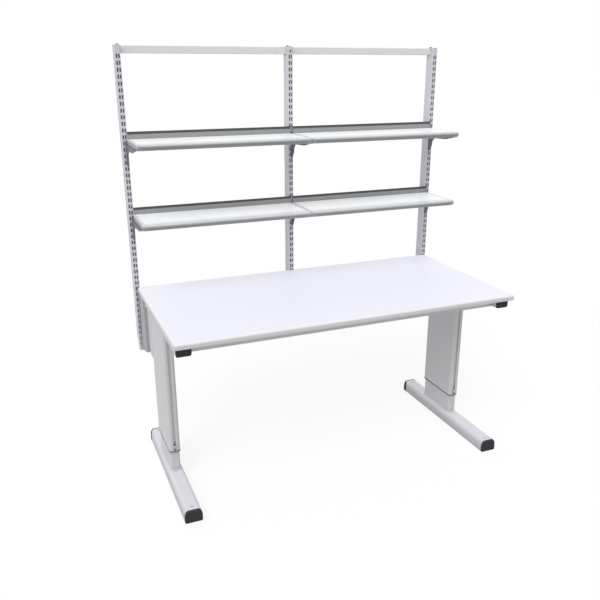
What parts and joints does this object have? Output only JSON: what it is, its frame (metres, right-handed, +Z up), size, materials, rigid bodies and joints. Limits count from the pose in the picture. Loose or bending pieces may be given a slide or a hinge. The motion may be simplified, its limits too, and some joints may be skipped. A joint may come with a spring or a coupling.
{
  "type": "lab bench with reagent shelf",
  "caption": "Height-adjustable bench on two telescopic legs, with slotted uprights behind the worktop that carry a reagent shelf and a top cross bar.",
  "frame": {"origin": "on the floor below the middle of the bench's bounding box", "axes": "+Z up; +X to the right for a user at the bench; +Y to the back, towards the uprights"},
  "size_m": [1.522, 0.81, 1.806],
  "materials": {
    "worktop_laminate": "white laminate on board, fine matt texture",
    "frame_paint": "light grey powder coat",
    "shelf_paint": "pale grey satin coat",
    "shelf_cap_plastic": "light grey moulded plastic",
    "bracket_paint": "mid grey powder coat",
    "black_plastic": "black moulded plastic",
    "collar_plastic": "grey moulded plastic",
    "guide_plastic": "natural moulded plastic",
    "zinc_steel": "zinc plated"
  },
  "bodies": {
    "left_base": {"foot_bar_left": "frame_paint", "foot_cap_left_front": "black_plastic", "foot_cap_left_rear": "black_plastic", "inner_column_left": "frame_paint", "column_guide_left": "guide_plastic"},
    "table_and_shelves": {"worktop": "worktop_laminate", "front_rail": "frame_paint", "rear_rail": "frame_paint", "top_bar": "frame_paint", "frame_bracket_middle": "bracket_paint", "side_beam_left": "frame_paint", "beam_cap_left_front": "black_plastic", "beam_cap_left_rear": "black_plastic", "outer_column_left": "frame_paint", "column_collar_left": "collar_plastic", "lock_nut_left": "zinc_steel", "bracket_spacer_left": "frame_paint", "frame_bracket_left": "bracket_paint", "side_beam_right": "frame_paint", "beam_cap_right_front": "black_plastic", "beam_cap_right_rear": "black_plastic", "outer_column_right": "frame_paint", "column_collar_right": "collar_plastic", "lock_nut_right": "zinc_steel", "bracket_spacer_right": "frame_paint", "frame_bracket_right": "bracket_paint", "upright_left": "frame_paint", "shelf_bracket_upper_left": "bracket_paint", "shelf_bracket_lower_left": "bracket_paint", "upright_middle": "frame_paint", "shelf_bracket_upper_middle": "bracket_paint", "shelf_bracket_lower_middle": "bracket_paint", "upright_right": "frame_paint", "shelf_bracket_upper_right": "bracket_paint", "shelf_bracket_lower_right": "bracket_paint", "shelf_upper_left": "shelf_paint", "shelf_upper_left_cap_left": "shelf_cap_plastic", "shelf_upper_left_cap_right": "shelf_cap_plastic", "shelf_upper_right": "shelf_paint", "shelf_upper_right_cap_left": "shelf_cap_plastic", "shelf_upper_right_cap_right": "shelf_cap_plastic", "shelf_lower_left": "shelf_paint", "shelf_lower_left_cap_left": "shelf_cap_plastic", "shelf_lower_left_cap_right": "shelf_cap_plastic", "shelf_lower_right": "shelf_paint", "shelf_lower_right_cap_left": "shelf_cap_plastic", "shelf_lower_right_cap_right": "shelf_cap_plastic"},
    "right_base": {"foot_bar_right": "frame_paint", "foot_cap_right_front": "black_plastic", "foot_cap_right_rear": "black_plastic", "inner_column_right": "frame_paint", "column_guide_right": "guide_plastic"},
    "lock_screw_left": {"lock_screw_left": "zinc_steel"},
    "leveller_left_front": {"levelling_foot_left_front": "black_plastic"},
    "leveller_left_rear": {"levelling_foot_left_rear": "black_plastic"},
    "lock_screw_right": {"lock_screw_right": "zinc_steel"},
    "leveller_right_front": {"levelling_foot_right_front": "black_plastic"},
    "leveller_right_rear": {"levelling_foot_right_rear": "black_plastic"}
  },
  "joints": [
    {"name": "height_adjust", "type": "slide", "parent": "left_base", "child": "table_and_shelves", "axis": [0, 0, 1], "range_m": [-0.075, 0.125]},
    {"name": "right_leg_slide", "type": "slide", "parent": "table_and_shelves", "child": "right_base", "axis": [0, 0, -1], "range_m": [-0.075, 0.125]},
    {"name": "lock_screw_left_turn", "type": "hinge", "parent": "table_and_shelves", "child": "lock_screw_left", "pos_m": [-0.709, -0.072, 0.179], "axis": [0, -1, 0], "range_deg": [0, 360]},
    {"name": "leveller_left_front_screw_out", "type": "slide", "parent": "left_base", "child": "leveller_left_front", "axis": [0, 0, -1], "range_m": [0, 0.018]},
    {"name": "leveller_left_rear_screw_out", "type": "slide", "parent": "left_base", "child": "leveller_left_rear", "axis": [0, 0, -1], "range_m": [0, 0.018]},
    {"name": "lock_screw_right_turn", "type": "hinge", "parent": "table_and_shelves", "child": "lock_screw_right", "pos_m": [0.709, -0.072, 0.179], "axis": [0, -1, 0], "range_deg": [0, 360]},
    {"name": "leveller_right_front_screw_out", "type": "slide", "parent": "right_base", "child": "leveller_right_front", "axis": [0, 0, -1], "range_m": [0, 0.018]},
    {"name": "leveller_right_rear_screw_out", "type": "slide", "parent": "right_base", "child": "leveller_right_rear", "axis": [0, 0, -1], "range_m": [0, 0.018]}
  ],
  "couplings": [
    {"joint": "right_leg_slide", "follows": "height_adjust", "ratio": 1}
  ]
}
